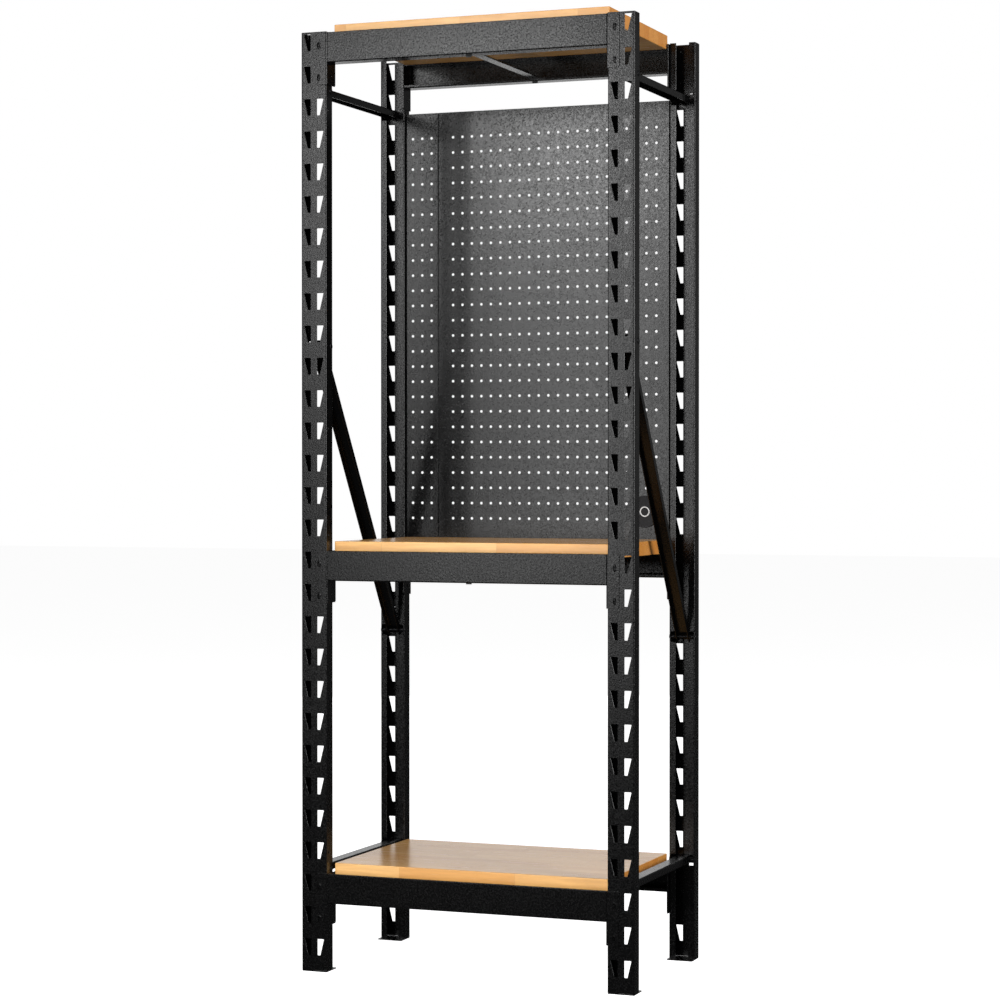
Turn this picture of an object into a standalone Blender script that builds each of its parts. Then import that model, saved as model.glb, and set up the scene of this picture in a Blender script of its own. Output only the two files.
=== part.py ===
"""Boltless steel rack workstation: slotted posts, hook-on beams, butcher-block boards and a pegboard back.

Metres, +Z up. The origin is on the floor under the middle of the rack; +X is to the user's right and
-Y is the front. Touching pieces keep a gap of 0.3 mm.
"""

import math

import bmesh
import bpy
from mathutils import Matrix, Vector

# Driving dimensions
WIDTH = 0.828
DEPTH = 0.4974
HEIGHT = 2.2163
PITCH = 0.0762
GAP = 0.0003
FRONT, BACK = -DEPTH / 2, DEPTH / 2

# How far a cutter runs past the sheet it cuts
CUT_PAST = 0.001

# Posts: lipped channels, web outwards
POST_WIDTH = 0.0645
POST_DEPTH = 0.0357
POST_SHEET = 0.002
POST_LIP = 0.016
POST_BEND = 0.0028
POST_BEND_STEPS = 2
FOOT_THICK = 0.0025
FOOT_TAIL = 0.020
POST_BOTTOM = FOOT_THICK + GAP

# Two columns of tapered slots in each post web
SLOT_BELOW_POST_TOP = 0.0049
SLOT_COUNT = 29
SLOT_TOP_WIDTH = 0.017
SLOT_BOTTOM_WIDTH = 0.0075
SLOT_HEIGHT = 0.039
SLOT_HALF_LAND = 0.008

# Shelf levels, counted in slots down from the top one
LEVEL_SLOTS = {"top": 0, "middle": 16, "bottom": 26}
LEVEL_BELOW_POST_TOP = 0.002

# Beams: a face, a rolled-over top, a ledge for the board and a bottom flange
BEAM_FACE = 0.071
BEAM_DEPTH = 0.042
BEAM_SHEET = 0.002
BEAM_LEDGE_DROP = 0.0125
BEAM_LEDGE_DEPTH = 0.038
BEAM_FLANGE_LIP = 0.008
BEAM_SETBACK = 0.0035

# Hook brackets at the beams' ends
BRACKET_HEIGHT = 0.123
BRACKET_COVER = 0.0275
BRACKET_SIDE = 0.049
BRACKET_SHEET = 0.0025
BRACKET_CHAMFER = 0.003
BRACKET_HOLE_RADIUS = 0.003
BRACKET_HOLE_DROP = 0.101
HOOK_FROM_SLOT_EDGE = 0.00475
HOOK_HEIGHT = 0.018
HOOK_REACH = 0.0095
HOOK_TIP_DROP = 0.008
HOOK_BELOW_SLOT_TOP = 0.011

# Boards
BOARD_WIDTH = 0.686
BOARD_DEPTH = 0.434
BOARD_THICK = 0.034
BOARD_EDGE = 0.0015

# Tie bars under the boards, tabs down through the beams' bottom flanges
TIE_WIDTH = 0.026
TIE_SHEET = 0.002
TIE_RIB = 0.014
TIE_TAB_WIDTH = 0.014
TIE_TAB_INSET = 0.012
TIE_TAB_DROP = 0.004
TIE_ANGLE_SHORT = 0.0015

# Side braces: channels open downwards, bolted between the lips of a front and a rear post
BRACE_WIDTH = 0.0318
BRACE_DROP = 0.017
BRACE_SHEET = 0.002
BRACE_OVERRUN = 0.013
BRACE_TOP = 2.0795
BRACE_BOTTOM = 0.242
BRACE_RISE_FRONT = 1.477
BRACE_RISE_REAR = 0.782
NOTCH_HEIGHT = 0.026
BOLT_FROM_WEB = 0.0267
BOLT_RADIUS = 0.004
BOLT_CLEARANCE = 0.0004
BOLT_HEAD_RADIUS = 0.007
BOLT_HEAD_THICK = 0.0015
BOLT_HEAD_CHAMFER = 0.001
SLEEVE_RADIUS = 0.0062
BOLT_SIDES = 12

# Pegboard: two folded panels between the rear posts
PEGBOARD_SIDE = 0.347
PEGBOARD_SEAM = -0.2605
PEGBOARD_TOP = 2.080
PEGBOARD_BOTTOM = 1.008
PEGBOARD_FROM_BACK = 0.0267
PEGBOARD_SHEET = 0.0012
PEGBOARD_RETURN = 0.016

# Screws through the panels' folds: into the rear posts, and through both folds at the seam
PANEL_SCREW_RADIUS = 0.0025
PANEL_SCREW_COLLAR = 0.0045
PANEL_SCREW_END = 0.002
PANEL_SCREW_FROM_FRONT = 0.010
PANEL_SCREW_Z = {"upper": 1.95, "lower": 1.12}

# Round badge on the pegboard
BADGE_RADIUS = 0.039
BADGE_THICK = 0.003
BADGE_CENTRE = (0.2846, 1.084)
BADGE_SIDES = 48

# Values worked out from those above
SLOT_FIRST_TOP = HEIGHT - SLOT_BELOW_POST_TOP
POST_CENTRE_X = WIDTH / 2 - POST_WIDTH / 2
POST_INNER_X = WIDTH / 2 - POST_WIDTH
LEG_FACE_X = POST_INNER_X - GAP - BRACKET_SHEET
BOLT_Y = BACK - BOLT_FROM_WEB
PANEL_SCREW_Y = BACK - PEGBOARD_FROM_BACK + PANEL_SCREW_FROM_FRONT
BEAM_LENGTH = 2 * (LEG_FACE_X - GAP)

MATERIALS = {
    "frame_paint": ((0.035, 0.035, 0.037), 0.45, 0.3),
    "pegboard_paint": ((0.06, 0.06, 0.063), 0.5, 0.3),
    "bolt_steel": ((0.05, 0.05, 0.052), 0.35, 0.8),
    "wood": ((0.78, 0.52, 0.27), 0.3, 0.0),
    "badge_plastic": ((0.02, 0.02, 0.022), 0.3, 0.0),
}
SIDES = {"left": -1, "right": 1}
ENDS = {"front": -1, "rear": 1}


def clear_scene():
    for obj in list(bpy.data.objects):
        bpy.data.objects.remove(obj, do_unlink=True)


def material(slot, node):
    """A Principled material of its own for one node."""
    colour, roughness, metallic = MATERIALS[slot]
    made = bpy.data.materials.new(f"{slot}_{node}")
    made.use_nodes = True
    shader = made.node_tree.nodes["Principled BSDF"]
    shader.inputs["Base Color"].default_value = (*colour, 1.0)
    shader.inputs["Roughness"].default_value = roughness
    shader.inputs["Metallic"].default_value = metallic
    return made


def new_object(name, bm, slot=None):
    """An object from a bmesh; with no slot it is a hidden cutter."""
    bmesh.ops.recalc_face_normals(bm, faces=bm.faces)
    mesh = bpy.data.meshes.new(name)
    bm.to_mesh(mesh)
    bm.free()
    obj = bpy.data.objects.new(name, mesh)
    bpy.context.scene.collection.objects.link(obj)
    if slot:
        mesh.materials.append(material(slot, name))
    else:
        obj.hide_render = True
        obj.display_type = "WIRE"
    return obj


def cut(obj, cutter, operation="DIFFERENCE"):
    boolean = obj.modifiers.new(cutter.name, "BOOLEAN")
    boolean.operation = operation
    boolean.object = cutter


def add_prism(bm, outline, low, high, to_world=None):
    """Extrudes a closed outline of (a, b) points from low to high along the third axis."""
    to_world = to_world or Matrix.Identity(4)
    ends = [[bm.verts.new(to_world @ Vector((a, b, h))) for a, b in outline] for h in (low, high)]
    bm.faces.new(reversed(ends[0]))
    bm.faces.new(ends[1])
    count = len(outline)
    for i in range(count):
        j = (i + 1) % count
        bm.faces.new((ends[0][i], ends[0][j], ends[1][j], ends[1][i]))


def prism(outline, low, high, to_world=None):
    bm = bmesh.new()
    add_prism(bm, outline, low, high, to_world)
    return bm


def rectangle(a0, a1, b0, b1):
    return [(a0, b0), (a1, b0), (a1, b1), (a0, b1)]


def circle(centre_a, centre_b, radius, sides):
    turns = [2 * math.pi * i / sides for i in range(sides)]
    return [(centre_a + radius * math.cos(t), centre_b + radius * math.sin(t)) for t in turns]


def arc(centre, radius, start, end, steps):
    """Points on an arc, angles in degrees."""
    angles = [math.radians(start + (end - start) * i / steps) for i in range(steps + 1)]
    return [(centre[0] + radius * math.cos(t), centre[1] + radius * math.sin(t)) for t in angles]


# The third axis of a prism along world X or Y, with the outline in the other two
ALONG_X = Matrix(((0, 0, 1, 0), (1, 0, 0, 0), (0, 1, 0, 0), (0, 0, 0, 1)))
ALONG_Y = Matrix(((1, 0, 0, 0), (0, 0, -1, 0), (0, 1, 0, 0), (0, 0, 0, 1)))


def mirrored(side, end):
    """The transform of a piece drawn for the right front corner to another corner."""
    return Matrix.Diagonal((side, -end, 1, 1))


def corner_prism(bm, outline, low, high, along, side, end):
    add_prism(bm, outline, low, high, mirrored(side, end) @ along)


def post_outline():
    """The lipped channel of the right front post, seen from above, anticlockwise."""
    outer, inner = POST_BEND, POST_BEND - POST_SHEET
    right, left = WIDTH / 2, POST_INNER_X
    front, back = FRONT, FRONT + POST_DEPTH
    sheet, lip = POST_SHEET, POST_LIP
    centres = [(left + outer, back - outer), (left + outer, front + outer),
               (right - outer, front + outer), (right - outer, back - outer)]
    outside, inside = [], []
    for quarter, centre in enumerate(centres):
        start = 90 + 90 * quarter
        outside += arc(centre, outer, start, start + 90, POST_BEND_STEPS)
        inside += arc(centre, inner, start, start + 90, POST_BEND_STEPS)
    left_lip = [(left + lip, back - sheet), (left + lip, back)]
    right_lip = [(right - lip, back), (right - lip, back - sheet)]
    return left_lip + outside + right_lip + inside[::-1]


def slot_outline(top, sign):
    """One tapered slot of a post web as (x, z), its upright edge next to the web's middle."""
    near = POST_CENTRE_X + sign * SLOT_HALF_LAND
    bottom = top - SLOT_HEIGHT
    far_top, far_bottom = near + sign * SLOT_TOP_WIDTH, near + sign * SLOT_BOTTOM_WIDTH
    return [(near, top), (far_top, top), (far_bottom, bottom), (near, bottom)]


def add_hole(bm, y, z, radius, x0, x1):
    """A round hole along X from x0 to x1."""
    add_prism(bm, circle(y, z, radius, BOLT_SIDES), min(x0, x1), max(x0, x1), ALONG_X)


def brace_ends(end):
    """Heights of the brace joints on a front post (end -1) or a rear post (end 1)."""
    return {"top": BRACE_TOP, "diagonal": BRACE_RISE_FRONT if end < 0 else BRACE_RISE_REAR,
            "bottom": BRACE_BOTTOM}


def post_cutter(name, side, end):
    """Slots, the holes for the brace bolts, the notches beside them in the lips, and screw holes."""
    bm = bmesh.new()
    for index in range(SLOT_COUNT):
        top = SLOT_FIRST_TOP - index * PITCH
        for sign in (-1, 1):
            corner_prism(bm, slot_outline(top, sign), -FRONT - POST_BEND, -FRONT + CUT_PAST,
                         ALONG_Y, side, end)
    lip_front, lip_back = FRONT + POST_DEPTH - POST_BEND, FRONT + POST_DEPTH + CUT_PAST
    notch_start, notch_end = POST_WIDTH / 2 - POST_LIP - GAP, POST_WIDTH / 2 - POST_BEND
    for z in brace_ends(end).values():
        add_hole(bm, end * BOLT_Y, z, BOLT_RADIUS + BOLT_CLEARANCE,
                 side * (POST_INNER_X - CUT_PAST), side * (WIDTH / 2 + CUT_PAST))
        for sign in (-1, 1):
            edges = sorted((POST_CENTRE_X + sign * notch_start, POST_CENTRE_X + sign * notch_end))
            notch = rectangle(*edges, z - NOTCH_HEIGHT / 2, z + NOTCH_HEIGHT / 2)
            corner_prism(bm, notch, -lip_back, -lip_front, ALONG_Y, side, end)
    if end == ENDS["rear"]:
        for z in PANEL_SCREW_Z.values():
            add_hole(bm, PANEL_SCREW_Y, z, PANEL_SCREW_RADIUS + BOLT_CLEARANCE,
                     side * (POST_INNER_X - CUT_PAST), side * (POST_INNER_X + POST_SHEET + CUT_PAST))
    return new_object(name, bm)


def make_posts():
    for end_name, end in ENDS.items():
        for side_name, side in SIDES.items():
            name = f"post_{end_name}_{side_name}"
            bm = prism(post_outline(), POST_BOTTOM, HEIGHT, mirrored(side, end))
            post = new_object(name, bm, "frame_paint")
            cut(post, post_cutter(f"{name}_cutter", side, end))


def make_foot_plates():
    """A thin plate under each post, with a tail towards the inside of the rack."""
    for end_name, end in ENDS.items():
        for side_name, side in SIDES.items():
            outline = rectangle(POST_INNER_X, WIDTH / 2, FRONT, FRONT + POST_DEPTH + FOOT_TAIL)
            bm = prism(outline, 0, FOOT_THICK, mirrored(side, end))
            new_object(f"foot_plate_{end_name}_{side_name}", bm, "frame_paint")


def level_top(level):
    """Top edge of a level's beams and brackets."""
    return HEIGHT - LEVEL_SLOTS[level] * PITCH - LEVEL_BELOW_POST_TOP


def beam_outline(top):
    """Section of a front beam as (y, z): face, ledge under the board, bottom flange and its lip."""
    sheet = BEAM_SHEET
    front = FRONT - BRACKET_SHEET + BEAM_SETBACK
    ledge = top - BEAM_LEDGE_DROP
    bottom = top - BEAM_FACE
    ledge_end, flange_end = front + sheet * 2 + BEAM_LEDGE_DEPTH, front + BEAM_DEPTH
    return [
        (front, bottom), (flange_end, bottom), (flange_end, bottom + BEAM_FLANGE_LIP),
        (flange_end - sheet, bottom + BEAM_FLANGE_LIP), (flange_end - sheet, bottom + sheet),
        (front + sheet, bottom + sheet), (front + sheet, ledge - sheet), (ledge_end, ledge - sheet),
        (ledge_end, ledge), (front + 2 * sheet, ledge), (front + 2 * sheet, top), (front, top),
    ]


def beam_flange_edge():
    """How far the edge of a beam's bottom flange is from the rack's middle."""
    return BACK + BRACKET_SHEET - BEAM_SETBACK - BEAM_DEPTH


def tie_slot(bm, top, end):
    """The opening in a beam's bottom flange for a tie bar's tab."""
    half = TIE_TAB_WIDTH / 2 + GAP
    near = beam_flange_edge() + TIE_TAB_INSET - GAP
    slot = rectangle(-half, half, near, near + TIE_SHEET + 2 * GAP)
    bottom = top - BEAM_FACE
    add_prism(bm, slot, bottom - CUT_PAST, bottom + BEAM_SHEET + CUT_PAST, Matrix.Diagonal((1, end, 1, 1)))


def make_beams():
    for level in LEVEL_SLOTS:
        top = level_top(level)
        for end_name, end in ENDS.items():
            name = f"beam_{level}_{end_name}"
            to_world = Matrix.Diagonal((1, -end, 1, 1)) @ ALONG_X
            bm = prism(beam_outline(top), -BEAM_LENGTH / 2, BEAM_LENGTH / 2, to_world)
            beam = new_object(name, bm, "frame_paint")
            cutter = bmesh.new()
            tie_slot(cutter, top, end)
            cut(beam, new_object(f"{name}_cutter", cutter))


def bracket_front_outline(top):
    """Front plate of the right front bracket as (x, z)."""
    return rectangle(LEG_FACE_X, POST_INNER_X + BRACKET_COVER, top - BRACKET_HEIGHT, top)


def bracket_side_outline(top):
    """Side leg as (y, z), with a chamfer at its lower inner corner."""
    front, back = FRONT - GAP - BRACKET_SHEET, FRONT - GAP - BRACKET_SHEET + BRACKET_SIDE
    bottom = top - BRACKET_HEIGHT
    return [(front, bottom), (back - BRACKET_CHAMFER, bottom), (back, bottom + BRACKET_CHAMFER),
            (back, top), (front, top)]


def hook_outline(slot_top):
    """A hook as (y, z): through the slot, then down behind the post's web."""
    plate = FRONT - GAP - BRACKET_SHEET / 2
    web_back = FRONT + POST_SHEET + GAP
    top = slot_top - HOOK_BELOW_SLOT_TOP
    bottom = top - HOOK_HEIGHT
    tip = FRONT + HOOK_REACH
    return [(plate, top), (tip, top), (tip, bottom - HOOK_TIP_DROP), (web_back, bottom - HOOK_TIP_DROP),
            (web_back, bottom), (plate, bottom)]


def bracket_hooks(slots_down, side, end):
    """Two hooks, one above the other, in neighbouring slots of the post's inner column."""
    hook_x = POST_CENTRE_X - SLOT_HALF_LAND - HOOK_FROM_SLOT_EDGE
    bm = bmesh.new()
    for row in (0, 1):
        slot_top = SLOT_FIRST_TOP - (slots_down + row) * PITCH
        corner_prism(bm, hook_outline(slot_top), hook_x - BRACKET_SHEET / 2, hook_x + BRACKET_SHEET / 2,
                     ALONG_X, side, end)
    return bm


def make_bracket(name, level, side, end):
    """An angle bracket round a post's inner corner: front plate, side leg with a hole, and hooks."""
    top = level_top(level)
    plate = bmesh.new()
    corner_prism(plate, bracket_front_outline(top), BACK + GAP, BACK + GAP + BRACKET_SHEET,
                 ALONG_Y, side, end)
    bracket = new_object(name, plate, "frame_paint")
    leg = bmesh.new()
    corner_prism(leg, bracket_side_outline(top), LEG_FACE_X, LEG_FACE_X + BRACKET_SHEET, ALONG_X, side, end)
    cut(bracket, new_object(f"{name}_leg", leg), "UNION")
    cut(bracket, new_object(f"{name}_hooks", bracket_hooks(LEVEL_SLOTS[level], side, end)), "UNION")
    hole = bmesh.new()
    add_hole(hole, end * (BACK - BRACKET_SIDE / 2), top - BRACKET_HOLE_DROP, BRACKET_HOLE_RADIUS,
             side * (LEG_FACE_X - CUT_PAST), side * (LEG_FACE_X + BRACKET_SHEET + CUT_PAST))
    cut(bracket, new_object(f"{name}_hole", hole))


def make_brackets():
    for level in LEVEL_SLOTS:
        for end_name, end in ENDS.items():
            for side_name, side in SIDES.items():
                make_bracket(f"bracket_{level}_{end_name}_{side_name}", level, side, end)


def board_top(level):
    return level_top(level) - BEAM_LEDGE_DROP + GAP + BOARD_THICK


def make_boards():
    """Butcher-block boards with small chamfers, resting on the beams' ledges."""
    for level in LEVEL_SLOTS:
        top = board_top(level)
        bm = prism(rectangle(-BOARD_WIDTH / 2, BOARD_WIDTH / 2, -BOARD_DEPTH / 2, BOARD_DEPTH / 2),
                   top - BOARD_THICK, top)
        bmesh.ops.bevel(bm, geom=bm.edges[:], offset=BOARD_EDGE, segments=1, affect="EDGES")
        new_object(f"board_{level}", bm, "wood")


def tie_outline(z, low):
    """Side view of a tie bar's strip as (y, z): flat at height z, with a tab down to low at each end."""
    tab = beam_flange_edge() + TIE_TAB_INSET
    right = [(tab, low), (tab + TIE_SHEET, low), (tab + TIE_SHEET, z + TIE_SHEET)]
    left = [(-y, height) for y, height in reversed(right)]
    return [(tab, z)] + right + left + [(-tab, z)]


def tie_angle(z):
    """Section of a tie bar between the beams as (x, z): a flat leg and an upright rib."""
    left, right = -TIE_WIDTH / 2, TIE_WIDTH / 2
    return [(left, z), (right, z), (right, z + TIE_SHEET), (left + TIE_SHEET, z + TIE_SHEET),
            (left + TIE_SHEET, z + TIE_RIB), (left, z + TIE_RIB)]


def make_tie_bars():
    """Angle ties that keep a level's two beams from spreading, lying on the beams' bottom flange lips."""
    span = beam_flange_edge() - TIE_ANGLE_SHORT
    for level in LEVEL_SLOTS:
        bottom = level_top(level) - BEAM_FACE
        z = bottom + BEAM_FLANGE_LIP + GAP
        name = f"tie_bar_{level}"
        strip = prism(tie_outline(z, bottom - TIE_TAB_DROP), -TIE_TAB_WIDTH / 2, TIE_TAB_WIDTH / 2, ALONG_X)
        tie = new_object(name, strip, "frame_paint")
        cut(tie, new_object(f"{name}_angle", prism(tie_angle(z), -span, span, ALONG_Y)), "UNION")


def brace_section():
    """Channel section as (across, up), centred on the bolt line, open below."""
    half, sheet = BRACE_WIDTH / 2, BRACE_SHEET
    up, down = BRACE_DROP / 2, -BRACE_DROP / 2
    return [(-half, down), (-half + sheet, down), (-half + sheet, up - sheet), (half - sheet, up - sheet),
            (half - sheet, down), (half, down), (half, up), (-half, up)]


def make_brace(name, side, front_z, rear_z):
    """One brace from the front post's bolt at front_z to the rear post's at rear_z."""
    start = Vector((side * POST_CENTRE_X, -BOLT_Y, front_z))
    run = Vector((side * POST_CENTRE_X, BOLT_Y, rear_z)) - start
    along = run.normalized()
    across = Vector((1, 0, 0))
    to_world = Matrix((across, across.cross(along), along)).transposed().to_4x4()
    to_world.translation = start
    channel = prism(brace_section(), -BRACE_OVERRUN, run.length + BRACE_OVERRUN, to_world)
    brace = new_object(name, channel, "frame_paint")
    holes = bmesh.new()
    for y, z in ((-BOLT_Y, front_z), (BOLT_Y, rear_z)):
        add_hole(holes, y, z, BOLT_RADIUS + BOLT_CLEARANCE,
                 side * (POST_CENTRE_X - BRACE_WIDTH), side * (POST_CENTRE_X + BRACE_WIDTH))
    cut(brace, new_object(f"{name}_holes", holes))


def make_braces():
    front, rear = brace_ends(-1), brace_ends(1)
    for side_name, side in SIDES.items():
        for place in front:
            make_brace(f"brace_{place}_{side_name}", side, front[place], rear[place])


def turned(rings, centre):
    """A closed solid turned about a line along X, from rings of (radius, x)."""
    bm = bmesh.new()
    rows = []
    for radius, x in rings:
        points = circle(0, 0, radius, BOLT_SIDES)
        rows.append([bm.verts.new(centre + Vector((x, a, b))) for a, b in points])
    for low, high in zip(rows, rows[1:]):
        for i in range(BOLT_SIDES):
            j = (i + 1) % BOLT_SIDES
            bm.faces.new((low[i], low[j], high[j], high[i]))
    bm.faces.new(rows[0])
    bm.faces.new(rows[-1])
    return bm


def both_ways(profile):
    """Rings for a solid that is the same on both sides of x = 0."""
    return [(radius, -x) for radius, x in reversed(profile)] + profile


def bolt_profile():
    """Radius along a brace bolt from its middle: shank, sleeve, shank in the flange, head."""
    sleeve_start = BRACE_WIDTH / 2 + GAP
    flange_inner = POST_WIDTH / 2 - POST_SHEET - GAP
    head_start = POST_WIDTH / 2 + GAP
    return [(BOLT_RADIUS, sleeve_start), (SLEEVE_RADIUS, sleeve_start), (SLEEVE_RADIUS, flange_inner),
            (BOLT_RADIUS, flange_inner), (BOLT_RADIUS, head_start), (BOLT_HEAD_RADIUS, head_start),
            (BOLT_HEAD_RADIUS - BOLT_HEAD_CHAMFER, head_start + BOLT_HEAD_THICK)]


def make_brace_bolts():
    for side_name, side in SIDES.items():
        for end_name, end in ENDS.items():
            for place, z in brace_ends(end).items():
                centre = Vector((side * POST_CENTRE_X, end * BOLT_Y, z))
                new_object(f"brace_bolt_{place}_{end_name}_{side_name}",
                           turned(both_ways(bolt_profile()), centre), "bolt_steel")


def panel_outline(left, right):
    """Section of a pegboard panel as (x, y): a flat front with both side edges folded back."""
    front = BACK - PEGBOARD_FROM_BACK
    sheet, fold = PEGBOARD_SHEET, front + PEGBOARD_RETURN
    return [(left, front), (right, front), (right, fold), (right - sheet, fold),
            (right - sheet, front + sheet), (left + sheet, front + sheet), (left + sheet, fold), (left, fold)]


def make_pegboard():
    panels = {"left": (-PEGBOARD_SIDE, PEGBOARD_SEAM - GAP), "right": (PEGBOARD_SEAM + GAP, PEGBOARD_SIDE)}
    for side_name, (left, right) in panels.items():
        name = f"pegboard_{side_name}"
        panel = new_object(name, prism(panel_outline(left, right), PEGBOARD_BOTTOM, PEGBOARD_TOP),
                           "pegboard_paint")
        holes = bmesh.new()
        for z in PANEL_SCREW_Z.values():
            for fold in (left, right - PEGBOARD_SHEET):
                add_hole(holes, PANEL_SCREW_Y, z, PANEL_SCREW_RADIUS + BOLT_CLEARANCE,
                         fold - CUT_PAST, fold + PEGBOARD_SHEET + CUT_PAST)
        cut(panel, new_object(f"{name}_holes", holes))


def post_screw_rings():
    """A panel screw's rings from the outside of a right-hand fold: head, collar in the gap, nut."""
    head_face = -PEGBOARD_SHEET - GAP
    flange = POST_INNER_X - PEGBOARD_SIDE
    flange_near = flange - GAP
    flange_far = flange + POST_SHEET + GAP
    shank, collar = PANEL_SCREW_RADIUS, PANEL_SCREW_COLLAR
    return [(collar, head_face - PANEL_SCREW_END), (collar, head_face), (shank, head_face), (shank, GAP),
            (collar, GAP), (collar, flange_near), (shank, flange_near), (shank, flange_far),
            (collar, flange_far), (collar, flange_far + PANEL_SCREW_END)]


def seam_screw_profile():
    """Half a seam screw: shank through a fold, then head or nut."""
    fold_far = 2 * GAP + PEGBOARD_SHEET
    return [(PANEL_SCREW_RADIUS, fold_far), (PANEL_SCREW_COLLAR, fold_far),
            (PANEL_SCREW_COLLAR, fold_far + PANEL_SCREW_END)]


def make_panel_screws():
    for height, z in PANEL_SCREW_Z.items():
        for side_name, side in SIDES.items():
            rings = [(radius, side * x) for radius, x in post_screw_rings()]
            centre = Vector((side * PEGBOARD_SIDE, PANEL_SCREW_Y, z))
            new_object(f"panel_screw_{height}_{side_name}", turned(rings, centre), "bolt_steel")
        centre = Vector((PEGBOARD_SEAM, PANEL_SCREW_Y, z))
        new_object(f"panel_screw_{height}_seam", turned(both_ways(seam_screw_profile()), centre),
                   "bolt_steel")


def make_badge():
    x, z = BADGE_CENTRE
    front = BACK - PEGBOARD_FROM_BACK - GAP
    disc = prism(circle(x, z, BADGE_RADIUS, BADGE_SIDES), -front, -front + BADGE_THICK, ALONG_Y)
    new_object("badge", disc, "badge_plastic")


def main():
    clear_scene()
    make_posts()
    make_foot_plates()
    make_beams()
    make_brackets()
    make_boards()
    make_tie_bars()
    make_braces()
    make_brace_bolts()
    make_pegboard()
    make_panel_screws()
    make_badge()


main()
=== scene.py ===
"""Looks of the rack workstation: folded steel sheet, butcher-block boards, a perforated back, the studio.

Every piece is drawn in the frame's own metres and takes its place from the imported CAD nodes. A steel piece
is a flat pattern with its holes, folded along a path, so its bends are round and its holes run through.
"""

import math

import bpy
from mathutils import Matrix, Vector
from mathutils.geometry import delaunay_2d_cdt


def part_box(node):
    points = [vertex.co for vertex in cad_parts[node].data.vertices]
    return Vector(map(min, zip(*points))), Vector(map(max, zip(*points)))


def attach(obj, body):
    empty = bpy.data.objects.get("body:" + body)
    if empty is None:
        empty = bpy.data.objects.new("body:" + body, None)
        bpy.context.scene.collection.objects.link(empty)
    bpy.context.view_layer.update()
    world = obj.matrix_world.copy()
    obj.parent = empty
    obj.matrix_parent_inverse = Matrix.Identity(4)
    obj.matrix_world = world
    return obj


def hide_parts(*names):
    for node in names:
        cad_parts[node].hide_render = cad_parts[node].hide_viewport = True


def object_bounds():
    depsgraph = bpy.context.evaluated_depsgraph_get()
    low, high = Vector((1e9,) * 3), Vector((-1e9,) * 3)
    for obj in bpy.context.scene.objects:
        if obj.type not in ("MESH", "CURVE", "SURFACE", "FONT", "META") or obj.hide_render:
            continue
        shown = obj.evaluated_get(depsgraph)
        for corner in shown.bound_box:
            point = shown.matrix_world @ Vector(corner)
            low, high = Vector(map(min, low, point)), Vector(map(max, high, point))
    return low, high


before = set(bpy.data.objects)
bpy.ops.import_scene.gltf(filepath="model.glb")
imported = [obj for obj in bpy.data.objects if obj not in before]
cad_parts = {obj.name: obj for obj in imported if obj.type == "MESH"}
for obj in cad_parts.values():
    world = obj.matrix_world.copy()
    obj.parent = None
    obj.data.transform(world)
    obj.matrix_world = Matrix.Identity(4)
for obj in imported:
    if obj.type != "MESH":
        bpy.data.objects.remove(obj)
CAD_BOX = [list(corner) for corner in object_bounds()]

SIDES = {"left": -1, "right": 1}
ENDS = {"front": -1, "rear": 1}
LEVELS = ("top", "middle", "bottom")
BRACE_PLACES = ("top", "diagonal", "bottom")
MM = 0.001

# Folded sheet
BEND_STEPS = 6
EDGE_ROUND = 0.35 * MM
SHARP_ANGLE = math.radians(35)
STATION_MATCH = 1e-6
CDT_MATCH = 1e-5

# Posts
POST_SHEET = 2 * MM
POST_BEND = 1.8 * MM
POST_LIP = 16 * MM
SLOT_PITCH = 76.2 * MM
SLOT_FIRST_DROP = 4.9 * MM
SLOT_COUNT = 29
SLOT_TOP_WIDTH = 17 * MM
SLOT_BOTTOM_WIDTH = 7.5 * MM
SLOT_HEIGHT = 39 * MM
SLOT_HALF_LAND = 8 * MM
SLOT_CORNER = 1.2 * MM
NOTCH_HEIGHT = 26 * MM
NOTCH_DEPTH = 12.7 * MM
FLANGE_HOLE_RADIUS = 3 * MM
FLANGE_HOLE_FROM_WEB = 12 * MM
FLANGE_HOLE_FIRST_DROP = 184 * MM
FLANGE_HOLE_PITCH = 250 * MM
FLANGE_HOLE_COUNT = 8
BOLT_HOLE_RADIUS = 4.4 * MM
SCREW_HOLE_RADIUS = 2.9 * MM

# Beams
BEAM_SHEET = 2 * MM
BEAM_LEDGE_DROP = 12.5 * MM
BEAM_LIP = 8 * MM
BEAM_BENDS = (1.5 * MM, 1 * MM, 1 * MM, 2 * MM, 2 * MM)
TIE_SLOT_HALF = 7.3 * MM
TIE_SLOT_NEAR = 29.7 * MM
TIE_SLOT_FAR = 27.1 * MM

# Hook brackets
BRACKET_SHEET = 2.5 * MM
BRACKET_BEND = 2.5 * MM
BRACKET_CORNER = 4 * MM
BRACKET_CHAMFER = 3 * MM
BRACKET_HOLE_RADIUS = 3 * MM
BRACKET_HOLE_DROP = 101 * MM
LANCE_DROPS = (31 * MM, 106 * MM)
LANCE_FROM_EDGE = 9.5 * MM
LANCE_SLIT = (1.5 * MM, 5.5 * MM)
LANCE_OVAL = (4.6 * MM, 8.6 * MM)
LANCE_TILT = math.radians(14)
LANCE_RISE = 1.3 * MM
HOOK_REACH = 9.5 * MM
HOOK_HEIGHT = 18 * MM
HOOK_TIP_DROP = 8 * MM
HOOK_BELOW_SLOT_TOP = 11 * MM
HOOK_FROM_SLOT_EDGE = 4.75 * MM

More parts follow.
